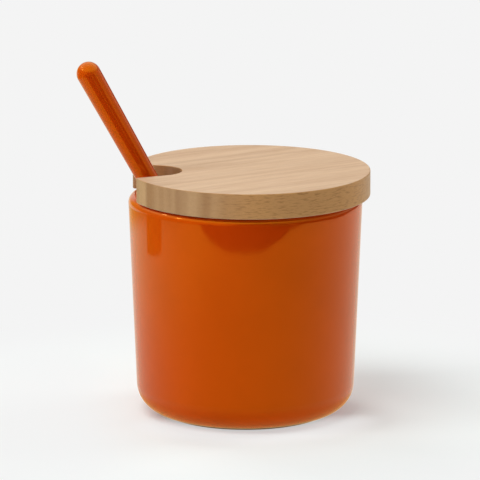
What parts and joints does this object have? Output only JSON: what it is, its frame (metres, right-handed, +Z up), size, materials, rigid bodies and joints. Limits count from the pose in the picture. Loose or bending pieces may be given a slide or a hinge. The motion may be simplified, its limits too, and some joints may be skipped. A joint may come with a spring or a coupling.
{
  "type": "condiment jar",
  "caption": "Straight-sided glazed ceramic jar with a flat wooden lid, notched at one edge for the round-handled spoon that stands in it.",
  "frame": {"origin": "centre of the jar's foot, on the surface it stands on", "axes": "+Z up along the jar's axis; the lid's notch and the spoon's handle point to -X"},
  "size_m": [0.1098, 0.0904, 0.1344],
  "materials": {
    "jar": "gloss",
    "lid": "satin",
    "spoon": "gloss"
  },
  "bodies": {
    "root": {"jar": "jar", "lid": "lid", "spoon": "spoon"}
  },
  "joints": []
}
